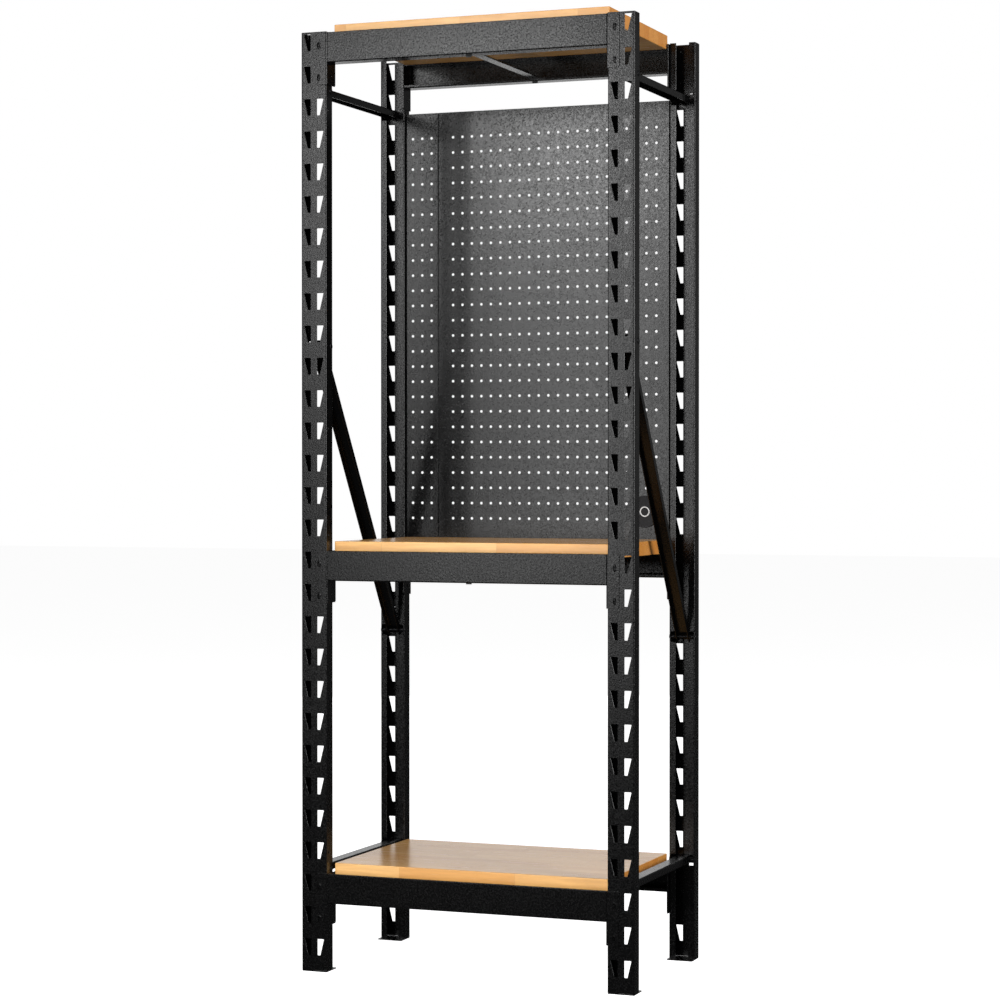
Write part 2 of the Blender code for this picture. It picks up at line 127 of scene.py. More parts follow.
# Brace bolts and panel screws
GAP = 0.3 * MM
BOLT_SHANK_RADIUS = 3.6 * MM
SPACER_RADIUS = 5.6 * MM
SPACER_SOFTENING = 0.4 * MM
BOLT_NUT_RADIUS = 6.2 * MM
BOLT_NUT_LENGTH = 5 * MM
BOLT_HEAD_RADIUS = 7 * MM
BOLT_HEAD_HEIGHT = 1.5 * MM
SCREW_SHANK_RADIUS = 2.5 * MM
SCREW_BORE_RADIUS = 2.4 * MM
SCREW_COLLAR_RADIUS = 4.2 * MM
SCREW_END_RADIUS = 4.5 * MM
SCREW_HEAD_HEIGHT = 2 * MM

# Braces, tie bars and foot plates
BRACE_SHEET = 2 * MM
BRACE_WIDTH = 31.8 * MM
BRACE_DROP = 17 * MM
BRACE_BEND = 2.5 * MM
BRACE_OVERRUN = 13 * MM
BRACE_CORNER = 5 * MM
TIE_SHEET = 2 * MM
TIE_HALF_TAB = 7 * MM
TIE_ANGLE_END = 203 * MM
TIE_BEND = 1.8 * MM
TIE_CORNER = 1.5 * MM
TIE_TAB_LAP = 3 * MM
TIE_TAB_SHEET = 1.9 * MM
FOOT_CORNER = 3 * MM

# Pegboard: a grid of holes in each panel
PANEL_SHEET = 1.2 * MM
PANEL_BEND = 1.4 * MM
PEG_RADIUS = 3.4 * MM
PEG_SIDES = 16
PEG_ACROSS = 25.4 * MM
PEG_UP = 38.1 * MM
PEG_ROWS = 26
PEG_TOP_DROP = 62.7 * MM
PEG_COLUMNS = {"left": (17.7 * MM, 3), "right": (39.9 * MM, 22)}

# Badge: its rim as (back from the face, in from the edge), and the ring as shares of the radius
BADGE_DISH = 0.5 * MM
BADGE_RIM = ((0.8 * MM, 0), (0.2 * MM, 0.4 * MM), (0, 1.2 * MM), (0, 2.6 * MM), (BADGE_DISH, 3.4 * MM))
BADGE_RING_OUT = 0.32
BADGE_RING_IN = 0.25
BADGE_RING_SHEET = 0.8 * MM
BADGE_RING_BACK = 0.6 * MM

# Boards
BOARD_EDGE = 2 * MM
BOARD_EDGE_STEPS = 4


def circle(a, b, radius, sides=24):
    turns = [2 * math.pi * i / sides for i in range(sides)]
    return [(a + radius * math.cos(t), b + radius * math.sin(t)) for t in turns]


def rectangle(a0, a1, b0, b1):
    return [(a0, b0), (a1, b0), (a1, b1), (a0, b1)]


def rounded(points, radii, steps=4):
    """A polygon with round corners; radii is one radius, or one for each corner."""
    count = len(points)
    radii = radii if isinstance(radii, (list, tuple)) else [radii] * count
    result = []
    for i, radius in enumerate(radii):
        corner = Vector(points[i])
        before = (Vector(points[i - 1]) - corner).normalized()
        after = (Vector(points[(i + 1) % count]) - corner).normalized()
        if radius <= 0:
            result.append(tuple(corner))
            continue
        half = before.angle(after) / 2
        centre = corner + (before + after).normalized() * (radius / math.sin(half))
        start = corner + before * (radius / math.tan(half)) - centre
        finish = corner + after * (radius / math.tan(half)) - centre
        turn = start.angle_signed(finish)
        for step in range(steps + 1):
            arm = start.copy()
            arm.rotate(Matrix.Rotation(-turn * step / steps, 2))
            result.append(tuple(centre + arm))
    return result


def signed_area(loop):
    pairs = zip(loop, loop[1:] + loop[:1])
    return sum(a[0] * b[1] - b[0] * a[1] for a, b in pairs) / 2


def offset_left(loop, distance):
    """The loop moved to its left by a distance, with mitred corners."""
    result = []
    for i, point in enumerate(loop):
        here = Vector(point)
        arriving = (here - Vector(loop[i - 1])).normalized()
        leaving = (Vector(loop[(i + 1) % len(loop)]) - here).normalized()
        bisector = Vector((-arriving.y - leaving.y, arriving.x + leaving.x))
        share = bisector.length_squared / 2
        result.append(tuple(here + bisector * (distance / share)))
    return result


def inside(point, loop):
    """Whether a point is inside a closed loop."""
    crossings = 0
    for (ax, ay), (bx, by) in zip(loop, loop[1:] + loop[:1]):
        if (ay > point[1]) != (by > point[1]):
            crossings += point[0] < ax + (point[1] - ay) * (bx - ax) / (by - ay)
    return crossings % 2 == 1


class Fold:
    """The middle line of a sheet's section: straight runs joined by round bends.

    A place along it is u, and height is measured to the right of the direction of travel.
    """

    def __init__(self, corners, radii):
        radii = radii if isinstance(radii, (list, tuple)) else [radii] * (len(corners) - 2)
        points = [Vector(c) for c in corners]
        first = (points[1] - points[0]).normalized()
        self.stations = [(0.0, points[0], first)]
        for corner, ahead, radius in zip(points[1:], points[2:], radii):
            arriving = self.stations[-1][2]
            leaving = (ahead - corner).normalized()
            turn = -arriving.angle_signed(leaving)
            start = corner - arriving * (radius * math.tan(abs(turn) / 2))
            self.add(start, arriving, (start - self.stations[-1][1]).length)
            side = math.copysign(1, turn)
            centre = start + Vector((-arriving.y, arriving.x)) * radius * side
            for step in range(1, BEND_STEPS + 1):
                angle = turn * step / BEND_STEPS
                rotation = Matrix.Rotation(angle, 2)
                self.add(centre + rotation @ (start - centre), rotation @ arriving,
                         radius * abs(turn) / BEND_STEPS)
        last = points[-1]
        self.add(last, self.stations[-1][2], (last - self.stations[-1][1]).length)
        self.length = self.stations[-1][0]

    def add(self, point, direction, run):
        if run > STATION_MATCH:
            self.stations.append((self.stations[-1][0] + run, point, direction))

    def at(self, u, height):
        """The point (a, b) at u along the fold and at a height above its middle line."""
        for low, high in zip(self.stations, self.stations[1:]):
            if u <= high[0] + STATION_MATCH:
                break
        share = (u - low[0]) / (high[0] - low[0])
        start = low[1] + Vector((low[2].y, -low[2].x)) * height
        finish = high[1] + Vector((high[2].y, -high[2].x)) * height
        return start.lerp(finish, share)

    def bend_lines(self):
        return [station[0] for station in self.stations[1:-1]]


def split_at(loop, lines):
    """Adds a point wherever the loop crosses one of the bend lines."""
    result = []
    for (au, av), (bu, bv) in zip(loop, loop[1:] + loop[:1]):
        result.append((au, av))
        crossed = [u for u in lines if min(au, bu) + STATION_MATCH < u < max(au, bu) - STATION_MATCH]
        for u in sorted(crossed, reverse=bu < au):
            result.append((u, av + (bv - av) * (u - au) / (bu - au)))
    return result


def triangles(loops, lines):
    """Triangles, as indices into the joined loops, of the area between an outline and its holes."""
    points = [point for loop in loops for point in loop]
    owner = [number for number, loop in enumerate(loops) for _ in loop]
    edges = []
    start = 0
    for loop in loops:
        edges += [(start + i, start + (i + 1) % len(loop)) for i in range(len(loop))]
        start += len(loop)
    for line in lines:
        crossing = [i for i, point in enumerate(points) if abs(point[0] - line) < STATION_MATCH]
        crossing.sort(key=lambda i: points[i][1])
        edges += list(zip(crossing[::2], crossing[1::2]))
    flat = [Vector(point) / MM for point in points]
    made = delaunay_2d_cdt(flat, edges, [], 0, CDT_MATCH)
    original = [ids[0] for ids in made[3]]
    kept = []
    for face in made[2]:
        corners = [original[i] for i in face]
        owners = {owner[i] for i in corners}
        if len(owners) == 1:
            if owners != {0}:
                continue
            middle = [sum(points[i][axis] for i in corners) / 3 for axis in (0, 1)]
            if not inside(middle, loops[0]):
                continue
        kept.append(corners)
    return kept


def sheet(outline, holes, thickness, fold=None):
    """(points, faces) of a sheet with softened edges. Its axes are the fold's two and the width v.

    With no fold it lies flat, with the outline in its first two axes and the thickness along the third.
    """
    lines = fold.bend_lines() if fold else []
    loops = [outline if signed_area(outline) > 0 else outline[::-1]]
    loops += [hole if signed_area(hole) < 0 else hole[::-1] for hole in holes]
    loops = [split_at(loop, lines) for loop in loops]
    pulled = [offset_left(loop, EDGE_ROUND) for loop in loops]
    top = thickness / 2
    rings = [(pulled, top), (loops, top - EDGE_ROUND), (loops, EDGE_ROUND - top), (pulled, -top)]
    points = []
    for ring_loops, height in rings:
        for loop in ring_loops:
            points += [(*fold.at(u, height), v) if fold else (u, v, height) for u, v in loop]
    count = sum(len(loop) for loop in loops)
    faces = []
    for corners in triangles(pulled, lines):
        faces.append(tuple(corners))
        faces.append(tuple(3 * count + i for i in reversed(corners)))
    start = 0
    for loop in loops:
        for i in range(len(loop)):
            here, ahead = start + i, start + (i + 1) % len(loop)
            for level in range(3):
                upper, lower = level * count, (level + 1) * count
                faces.append((lower + here, lower + ahead, upper + ahead, upper + here))
        start += len(loop)
    return points, faces


def moved(shape, to_world):
    """A shape in new axes, turned right side out again if they mirror it."""
    points = [tuple(to_world @ Vector(point)) for point in shape[0]]
    faces = shape[1]
    if to_world.determinant() < 0:
        faces = [tuple(reversed(face)) for face in faces]
    return points, faces


def joined(shapes):
    points, faces = [], []
    for shape_points, shape_faces in shapes:
        start = len(points)
        points += shape_points
        faces += [tuple(start + i for i in face) for face in shape_faces]
    return points, faces


def revolved(profile, sides=32):
    """A solid turned about X from (x, radius) points in order of x; its ends are closed with a fan."""
    points = [(x, r * math.cos(2 * math.pi * i / sides), r * math.sin(2 * math.pi * i / sides))
              for x, r in profile for i in range(sides)]
    faces = []
    for row in range(len(profile) - 1):
        for i in range(sides):
            j = (i + 1) % sides
            low, high = row * sides, (row + 1) * sides
            faces.append((low + j, low + i, high + i, high + j))
    last = (len(profile) - 1) * sides
    faces.append(tuple(range(sides)))
    faces.append(tuple(last + i for i in reversed(range(sides))))
    return points, faces


# World axes for a shape drawn as (a, b, width or thickness)
ALONG_X = Matrix(((0, 0, 1, 0), (1, 0, 0, 0), (0, 1, 0, 0), (0, 0, 0, 1)))
ALONG_Y = Matrix(((1, 0, 0, 0), (0, 0, -1, 0), (0, 1, 0, 0), (0, 0, 0, 1)))


def corner_of(side, end):
    """The transform of a piece drawn for the right front corner to another corner."""
    return Matrix.Diagonal((side, -end, 1, 1))


def finish_piece(node, shape, material, body="rack"):
    """One visible piece that stands for a CAD node and rides on its body."""
    mesh = bpy.data.meshes.new(f"{node}_mesh")
    mesh.from_pydata(shape[0], [], shape[1])
    mesh.materials.append(material)
    mesh.shade_smooth()
    mesh.set_sharp_from_angle(angle=SHARP_ANGLE)
    piece = bpy.data.objects.new(f"fine_{node}", mesh)
    bpy.context.scene.collection.objects.link(piece)
    weighted = piece.modifiers.new("weighted", "WEIGHTED_NORMAL")
    weighted.keep_sharp = True
    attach(piece, body)
    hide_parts(node)


def middle_of(node):
    low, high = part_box(node)
    return (low + high) / 2


# ---------------------------------------------------------------- materials


class Nodes:
    """A short way to build a material's node tree."""

    def __init__(self, name):
        self.material = bpy.data.materials.new(name)
        self.material.use_nodes = True
        self.tree = self.material.node_tree
        self.shader = self.tree.nodes["Principled BSDF"]

    def add(self, kind, inputs=None, **settings):
        node = self.tree.nodes.new(kind)
        for key, value in settings.items():
            setattr(node, key, value)
        for key, value in (inputs or {}).items():
            if isinstance(value, bpy.types.NodeSocket):
                self.tree.links.new(value, node.inputs[key])
            else:
                node.inputs[key].default_value = value
        return node

    def math(self, operation, first, second=0.0):
        return self.add("ShaderNodeMath", {0: first, 1: second}, operation=operation).outputs[0]

    def mix(self, share, first, second, blend="MIX"):
        node = self.add("ShaderNodeMix", data_type="RGBA", blend_type=blend)
        for key, value in ((0, share), (6, first), (7, second)):
            if isinstance(value, bpy.types.NodeSocket):
                self.tree.links.new(value, node.inputs[key])
            else:
                node.inputs[key].default_value = value
        return node.outputs[2]

    def ramp(self, value, stops):
        node = self.add("ShaderNodeValToRGB", {"Fac": value})
        elements = node.color_ramp.elements
        for index, (place, grey) in enumerate(stops):
            element = elements[index] if index < 2 else elements.new(place)
            element.position = place
            element.color = (grey, grey, grey, 1)
        return node.outputs["Color"]

    def set(self, **values):
        for key, value in values.items():
            socket = self.shader.inputs[key.replace("_", " ")]
            if isinstance(value, bpy.types.NodeSocket):
                self.tree.links.new(value, socket)
            else:
                socket.default_value = value

    def place(self):
        return self.add("ShaderNodeTexCoord").outputs["Object"]

    def noise(self, place, scale, detail=2.0, roughness=0.5):
        inputs = {"Vector": place, "Scale": scale, "Detail": detail, "Roughness": roughness}
        return self.add("ShaderNodeTexNoise", inputs).outputs["Fac"]

    def bump(self, height, strength, distance):
        return self.add("ShaderNodeBump", {"Height": height, "Strength": strength, "Distance": distance}
                        ).outputs["Normal"]


def powder_coat(name, colour, roughness, specular, grain, depth):
    """Black powder coat: a fine orange-peel and pebble texture, with faint changes of gloss."""
    nodes = Nodes(name)
    place = nodes.place()
    pebbles = nodes.add("ShaderNodeTexVoronoi", {"Vector": place, "Scale": grain, "Randomness": 1.0},
                        feature="SMOOTH_F1").outputs["Distance"]
    peel = nodes.noise(place, grain * PEEL_TO_GRAIN, 2.0, 0.6)
    height = nodes.math("ADD", nodes.math("MULTIPLY", pebbles, PEBBLE_SHARE), peel)
    clouds = nodes.noise(place, CLOUD_SCALE, 3.0)
    dark = (*[channel * (1 - CLOUD_SHADE) for channel in colour], 1)
    light = (*[channel * (1 + CLOUD_SHADE) for channel in colour], 1)
    nodes.set(Base_Color=nodes.mix(clouds, dark, light))
    mottle = nodes.noise(place, SPECKLE_SCALE, 1.0, 0.6)
    spread = nodes.math("ADD", nodes.math("MULTIPLY", clouds, CLOUD_SPREAD),
                        nodes.math("MULTIPLY", mottle, SPECKLE_SPREAD))
    gloss = nodes.math("ADD", spread, roughness - (CLOUD_SPREAD + SPECKLE_SPREAD) / 2)
    nodes.set(Roughness=gloss, Normal=nodes.bump(height, 1.0, depth))
    nodes.shader.inputs["Specular IOR Level"].default_value = specular
    return nodes.material


def dark_steel(name):
    """Black zinc on a bolt: dark metal with fine turning marks."""
    nodes = Nodes(name)
    place = nodes.place()
    marks = nodes.noise(place, 900.0, 2.0)
    nodes.set(Base_Color=nodes.mix(marks, (0.012, 0.012, 0.013, 1), (0.03, 0.03, 0.032, 1)),
              Roughness=nodes.math("ADD", nodes.math("MULTIPLY", marks, 0.2), 0.25),
              Normal=nodes.bump(marks, 0.3, 0.1 * MM))
    nodes.shader.inputs["Metallic"].default_value = 0.85
    return nodes.material


def butcher_block(name):
    """Finger-jointed hardwood staves under clear lacquer, end grain included."""
    nodes = Nodes(name)
    place = nodes.place()
    split = nodes.add("ShaderNodeSeparateXYZ", {0: place})
    x, y, z = split.outputs
    row = nodes.math("FLOOR", nodes.math("DIVIDE", y, STAVE_WIDTH))
    level = nodes.math("FLOOR", nodes.math("DIVIDE", z, BOARD_BAND))
    seed = nodes.add("ShaderNodeCombineXYZ", {0: row, 1: level})
    shift = nodes.add("ShaderNodeTexWhiteNoise", {"Vector": seed.outputs[0]}, noise_dimensions="3D")
    along = nodes.math("ADD", nodes.math("DIVIDE", x, STAVE_LENGTH),
                       nodes.math("MULTIPLY", shift.outputs["Value"], 7.0))
    block = nodes.math("FLOOR", along)
    stave = nodes.add("ShaderNodeCombineXYZ", {0: block, 1: row, 2: level})
    pick = nodes.add("ShaderNodeTexWhiteNoise", {"Vector": stave.outputs[0]}, noise_dimensions="3D")
    tone = pick.outputs["Value"]
    jitter = nodes.add("ShaderNodeVectorMath", {0: pick.outputs["Color"], 1: (9.0, 9.0, 9.0)},
                       operation="MULTIPLY").outputs[0]
    stretched = nodes.add("ShaderNodeVectorMath", {0: place, 1: GRAIN_STRETCH},
                          operation="MULTIPLY").outputs[0]
    grain_place = nodes.add("ShaderNodeVectorMath", {0: stretched, 1: jitter},
                            operation="ADD").outputs[0]
    figure = nodes.noise(grain_place, 1.0, 6.0, 0.62)
    pores = nodes.noise(grain_place, 7.0, 3.0, 0.7)
    wood = nodes.mix(tone, WOOD_PALE, WOOD_DEEP)
    streaks = nodes.ramp(figure, ((0.36, 0.0), (0.68, 1.0)))
    wood = nodes.mix(nodes.math("MULTIPLY", streaks, 0.45), wood, WOOD_STREAK)
    specks = nodes.ramp(pores, ((0.60, 0.0), (0.72, 1.0)))
    wood = nodes.mix(nodes.math("MULTIPLY", specks, 0.30), wood, WOOD_PORE)
    joint_along = nodes.math("PINGPONG", along, 0.5)
    joint_across = nodes.math("PINGPONG", nodes.math("DIVIDE", y, STAVE_WIDTH), 0.5)
    line = nodes.math("MAXIMUM",
                      nodes.math("LESS_THAN", joint_along, JOINT_HALF / STAVE_LENGTH),
                      nodes.math("LESS_THAN", joint_across, JOINT_HALF / STAVE_WIDTH))
    wood = nodes.mix(nodes.math("MULTIPLY", line, 0.45), wood, WOOD_JOINT)
    facing = nodes.add("ShaderNodeSeparateXYZ", {0: nodes.add("ShaderNodeTexCoord").outputs["Normal"]})
    end_grain = nodes.math("GREATER_THAN", nodes.math("ABSOLUTE", facing.outputs[0]), 0.7)
    wood = nodes.mix(end_grain, wood, END_GRAIN_TINT, "MULTIPLY")
    height = nodes.math("SUBTRACT", nodes.math("MULTIPLY", figure, 0.3), line)
    nodes.set(Base_Color=wood, Normal=nodes.bump(height, 0.35, 0.15 * MM))
    nodes.set(Roughness=nodes.math("ADD", nodes.math("MULTIPLY", figure, 0.12), 0.2))
    nodes.shader.inputs["Coat Weight"].default_value = 0.15
    nodes.shader.inputs["Coat Roughness"].default_value = 0.15
    return nodes.material


def gloss_black(name, colour):
    """Moulded plastic with a very slight waviness."""
    nodes = Nodes(name)
    waves = nodes.noise(nodes.place(), 120.0, 1.0)
    nodes.set(Base_Color=nodes.mix(waves, colour, tuple(channel * 1.25 for channel in colour)),
              Roughness=nodes.math("ADD", nodes.math("MULTIPLY", waves, 0.08), 0.22),
              Normal=nodes.bump(waves, 0.2, 0.2 * MM))
    nodes.shader.inputs["Specular IOR Level"].default_value = 0.08
    return nodes.material


# Wood: sizes of the staves, colours, and the height over which one pattern of staves holds
STAVE_WIDTH = 36 * MM
STAVE_LENGTH = 290 * MM
JOINT_HALF = 0.35 * MM
GRAIN_STRETCH = (9.0, 130.0, 130.0)
WOOD_PALE = (0.85, 0.50, 0.185, 1)
WOOD_DEEP = (0.72, 0.36, 0.105, 1)
WOOD_STREAK = (0.50, 0.235, 0.075, 1)
WOOD_PORE = (0.38, 0.17, 0.06, 1)
WOOD_JOINT = (0.36, 0.18, 0.07, 1)
END_GRAIN_TINT = (1.0, 0.78, 0.52, 1)
BOARD_BAND = 0.3

# Paint: the pattern's scales, and how far the speckle and the larger clouds change the roughness
SPECKLE_SCALE = 210.0
SPECKLE_SPREAD = 0.36
CLOUD_SCALE = 9.0
CLOUD_SPREAD = 0.06
CLOUD_SHADE = 0.18
PEEL_TO_GRAIN = 1.3
PEBBLE_SHARE = 0.8

FRAME_PAINT = powder_coat("frame_paint", (0.0015, 0.0015, 0.0016), 0.25, 0.42, 300.0, 0.16 * MM)
PANEL_PAINT = powder_coat("pegboard_paint", (0.0025, 0.0025, 0.0026), 0.22, 0.43, 330.0, 0.10 * MM)
BOLT_STEEL = dark_steel("bolt_steel")
WOOD = butcher_block("wood")
BADGE_BLACK = gloss_black("badge_black", (0.015, 0.015, 0.016, 1))
BADGE_RING = gloss_black("badge_ring", (0.62, 0.62, 0.62, 1))


# ---------------------------------------------------------------- posts


def post_fold(low, high):
    """Section of the right front post in (x, y), from one lip round the web to the other."""
    half = POST_SHEET / 2
    left, right, front, back = low.x + half, high.x - half, low.y + half, high.y - half
    return Fold([(low.x + POST_LIP, back), (left, back), (left, front), (right, front), (right, back),
                 (high.x - POST_LIP, back)], POST_BEND)


def post_slots(centre, top):
    """Two columns of tapered slots, mirrored about the web's middle."""
    slots = []
    for index in range(SLOT_COUNT):
        upper = top - SLOT_FIRST_DROP - index * SLOT_PITCH
        lower = upper - SLOT_HEIGHT
        for sign in SIDES.values():
            near = centre + sign * SLOT_HALF_LAND
            outline = [(near, upper), (near + sign * SLOT_TOP_WIDTH, upper),
                       (near + sign * SLOT_BOTTOM_WIDTH, lower), (near, lower)]
            slots.append(rounded(outline[::sign], SLOT_CORNER))
    return slots


def flange_reach(width, from_web):
    """Distance along the sheet from the web's middle to a place on a flange."""
    half = POST_SHEET / 2
    flat = width / 2 - half - POST_BEND
    return flat + POST_BEND * math.pi / 2 + from_web - half - POST_BEND


def post_outline(length, low, high, joints):
    """Flat pattern of a post, with a notch in both lips at each brace joint."""
    rising, falling = [], []
    for z in sorted(joints):
        rising += [(length, z - NOTCH_HEIGHT / 2), (length - NOTCH_DEPTH, z - NOTCH_HEIGHT / 2),
                   (length - NOTCH_DEPTH, z + NOTCH_HEIGHT / 2), (length, z + NOTCH_HEIGHT / 2)]
    for z in sorted(joints, reverse=True):
        falling += [(0, z + NOTCH_HEIGHT / 2), (NOTCH_DEPTH, z + NOTCH_HEIGHT / 2),
                    (NOTCH_DEPTH, z - NOTCH_HEIGHT / 2), (0, z - NOTCH_HEIGHT / 2)]
    return [(0, low), (length, low)] + rising + [(length, high), (0, high)] + falling


def make_posts():
    low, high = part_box("post_front_right")
    fold = post_fold(low, high)
    centre = fold.length / 2
    width = high.x - low.x
    for end_name, end in ENDS.items():
        joints = [middle_of(f"brace_bolt_{place}_{end_name}_right") for place in BRACE_PLACES]
        web = low.y if end < 0 else -low.y
        bolt_u = flange_reach(width, abs(web - joints[0].y))
        hole_u = flange_reach(width, FLANGE_HOLE_FROM_WEB)
        holes = post_slots(centre, high.z)
        for sign in SIDES.values():
            holes += [circle(centre + sign * bolt_u, joint.z, BOLT_HOLE_RADIUS) for joint in joints]
            first_hole = high.z - FLANGE_HOLE_FIRST_DROP
            holes += [circle(centre + sign * hole_u, first_hole - FLANGE_HOLE_PITCH * k, FLANGE_HOLE_RADIUS)
                      for k in range(FLANGE_HOLE_COUNT)]
        if end > 0:
            for height in ("upper", "lower"):
                screw = middle_of(f"panel_screw_{height}_right")
                screw_u = flange_reach(width, abs(web - screw.y))
                holes.append(circle(centre - screw_u, screw.z, SCREW_HOLE_RADIUS))
        outline = post_outline(fold.length, low.z, high.z, [joint.z for joint in joints])
        shape = sheet(outline, holes, POST_SHEET, fold)
        for side_name, side in SIDES.items():
            finish_piece(f"post_{end_name}_{side_name}", moved(shape, corner_of(side, end)),
                         FRAME_PAINT)


def make_foot_plates():
    for end_name in ENDS:
        for side_name in SIDES:
            node = f"foot_plate_{end_name}_{side_name}"
            low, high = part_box(node)
            outline = rounded(rectangle(low.x, high.x, low.y, high.y), FOOT_CORNER)
            plate = sheet(outline, [], high.z - low.z)
            place = Matrix.Translation((0, 0, (low.z + high.z) / 2))
            finish_piece(node, moved(plate, place), FRAME_PAINT)


# ---------------------------------------------------------------- beams and brackets


def beam_fold(low, high):
    """Section of a front beam in (y, z): ledge, doubled top edge, face, bottom flange and its lip."""
    half = BEAM_SHEET / 2
    ledge = high.z - BEAM_LEDGE_DROP - half
    back = high.y
    return Fold([(back, ledge), (low.y + 3 * half, ledge), (low.y + 3 * half, high.z - half),
                 (low.y + half, high.z - half), (low.y + half, low.z + half),
                 (back - half, low.z + half), (back - half, low.z + BEAM_LIP)], BEAM_BENDS)


def make_beams():
    for level in LEVELS:
        low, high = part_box(f"beam_{level}_front")
        fold = beam_fold(low, high)
        outline = rectangle(0, fold.length, low.x, high.x)
        lip_end = fold.length + BEAM_LIP
        slot = rectangle(lip_end - TIE_SLOT_NEAR, lip_end - TIE_SLOT_FAR, -TIE_SLOT_HALF, TIE_SLOT_HALF)
        shape = sheet(outline, [slot], BEAM_SHEET, fold)
        for end_name, end in ENDS.items():
            finish_piece(f"beam_{level}_{end_name}", moved(shape, corner_of(1, end) @ ALONG_X),
                         FRAME_PAINT)


def tilted(points, angle):
    turn = Matrix.Rotation(angle, 2)
    return [tuple(turn @ Vector(point)) for point in points]


def stadium(half_width, half_height, count=24):
    """A round-ended slot about the origin with evenly numbered points."""
    straight = half_height - half_width
    turns = [2 * math.pi * (i + 0.5) / count for i in range(count)]
    return [(half_width * math.cos(t), half_width * math.sin(t) + math.copysign(straight, math.sin(t)))
            for t in turns]


def lance(centre_u, centre_v):
    """A raised oval rim round a slanting slit, where the hook was pressed out of the plate."""
    rows = 6
    slit = tilted(stadium(*LANCE_SLIT), LANCE_TILT)
    count = len(slit)
    oval = [(LANCE_OVAL[0] * math.cos(t), LANCE_OVAL[1] * math.sin(t))
            for t in (2 * math.pi * (i + 0.5) / count for i in range(count))]
    points = [(centre_u + u, centre_v + v, -LANCE_RISE) for u, v in slit]
    for row in range(rows + 1):
        share = row / rows
        rise = LANCE_RISE * math.cos(share * math.pi / 2) ** 0.8 - 0.05 * MM
        for (au, av), (bu, bv) in zip(slit, oval):
            points.append((centre_u + au + (bu - au) * share, centre_v + av + (bv - av) * share, rise))
    faces = []
    for row in range(rows + 1):
        for i in range(count):
            j = (i + 1) % count
            low, high = row * count, (row + 1) * count
            faces.append((low + i, high + i, high + j, low + j))
    faces.append(tuple(range(count)))
    return points, faces


def bracket_hook(low, hook_x, slot_top):
    """A hook through the post's slot, drawn as (y, z) and flat along x."""
    plate = low.y + BRACKET_SHEET / 2
    web_outer = low.y + BRACKET_SHEET
    web_back = web_outer + POST_SHEET + 0.6 * MM
    upper = slot_top - HOOK_BELOW_SLOT_TOP
    lower = upper - HOOK_HEIGHT
    tip = web_outer + HOOK_REACH
    outline = [(plate, upper), (plate, lower), (web_back, lower), (web_back, lower - HOOK_TIP_DROP),
               (tip, lower - HOOK_TIP_DROP), (tip, upper)]
    radii = [0, 0, 0.8 * MM, 2 * MM, 2 * MM, 4 * MM]
    shape = sheet(rounded(outline, radii), [], BRACKET_SHEET)
    return moved(shape, Matrix.Translation((hook_x, 0, 0)) @ ALONG_X)


def bracket_shape(level):
    """The right front bracket of a level: folded plate and leg, two hooks and their lanced rims."""
    low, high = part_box(f"bracket_{level}_front_right")
    half = BRACKET_SHEET / 2
    fold = Fold([(high.x, low.y + half), (low.x + half, low.y + half), (low.x + half, high.y)],
                BRACKET_BEND)
    outline = [(0, low.z), (fold.length - BRACKET_CHAMFER, low.z),
               (fold.length, low.z + BRACKET_CHAMFER), (fold.length, high.z), (0, high.z)]
    radii = [BRACKET_CORNER, 1.5 * MM, 1.5 * MM, 1.5 * MM, 1.5 * MM]
    leg_u = fold.length - (high.y - low.y) / 2
    holes = [circle(leg_u, high.z - BRACKET_HOLE_DROP, BRACKET_HOLE_RADIUS)]
    for drop in LANCE_DROPS:
        slit = tilted(stadium(*LANCE_SLIT), -LANCE_TILT)
        holes.append([(LANCE_FROM_EDGE + u, high.z - drop + v) for u, v in slit])
    shapes = [sheet(rounded(outline, radii), holes, BRACKET_SHEET, fold)]
    for drop in LANCE_DROPS:
        rim = lance(high.x - LANCE_FROM_EDGE, high.z - drop)
        shapes.append(moved(rim, Matrix.Translation((0, low.y, 0)) @ ALONG_Y))
    post_low, post_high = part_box("post_front_right")
    hook_x = (post_low.x + post_high.x) / 2 - SLOT_HALF_LAND - HOOK_FROM_SLOT_EDGE
    first = round((post_high.z - high.z) / SLOT_PITCH)
    for row in (0, 1):
        slot_top = post_high.z - SLOT_FIRST_DROP - (first + row) * SLOT_PITCH
        shapes.append(bracket_hook(low, hook_x, slot_top))
    return joined(shapes)


def make_brackets():
    for level in LEVELS:
        shape = bracket_shape(level)
        for end_name, end in ENDS.items():
            for side_name, side in SIDES.items():
                finish_piece(f"bracket_{level}_{end_name}_{side_name}",
                             moved(shape, corner_of(side, end)), FRAME_PAINT)


# ---------------------------------------------------------------- braces, bolts and tie bars


def make_brace(node, front, rear):
    """A channel open below, from the front bolt's middle to the rear bolt's."""
    half, sheet_half = BRACE_WIDTH / 2, BRACE_SHEET / 2
    up, down = BRACE_DROP / 2, -BRACE_DROP / 2
    fold = Fold([(-half + sheet_half, down), (-half + sheet_half, up - sheet_half),
                 (half - sheet_half, up - sheet_half), (half - sheet_half, down)], BRACE_BEND)
    run = rear - front
    along = run.normalized()
    across = Vector((1, 0, 0))
    place = Matrix((across, across.cross(along), along)).transposed().to_4x4()
    place.translation = front
    outline = rounded(rectangle(0, fold.length, -BRACE_OVERRUN, run.length + BRACE_OVERRUN),
                      BRACE_CORNER)
    holes = [circle(u, v, BOLT_HOLE_RADIUS) for u in (up, fold.length - up) for v in (0, run.length)]
    channel = sheet(outline, holes, BRACE_SHEET, fold)
    finish_piece(node, moved(channel, place), FRAME_PAINT)


